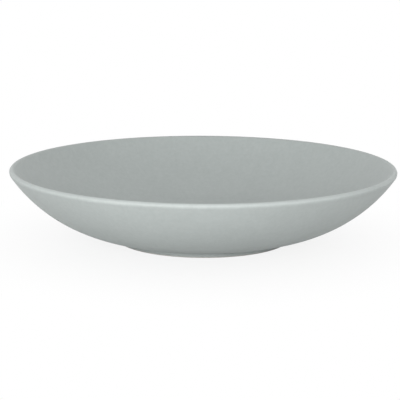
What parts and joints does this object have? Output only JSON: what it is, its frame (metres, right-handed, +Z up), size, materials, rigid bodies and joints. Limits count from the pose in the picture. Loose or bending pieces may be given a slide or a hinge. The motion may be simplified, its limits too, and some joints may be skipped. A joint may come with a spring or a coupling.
{
  "type": "deep plate",
  "caption": "Round deep coupe plate of glazed stoneware: a shallow well that curves up in one sweep to a rounded lip, on a low foot ring.",
  "frame": {"origin": "centre of the foot ring, on the surface that the plate stands on", "axes": "+Z up along the plate's axis of revolution; +X and +Y are any two directions across the rim"},
  "size_m": [0.26, 0.26, 0.05],
  "materials": {
    "stoneware": "bare fired stoneware, matt and fine-grained",
    "glaze": "satin matt grey-green glaze with a faint mottle",
    "base_glaze": "satin matt grey-green glaze with a faint mottle"
  },
  "bodies": {
    "root": {"stoneware_body": "stoneware", "glaze_coat": "glaze", "base_glaze": "base_glaze"}
  },
  "joints": []
}
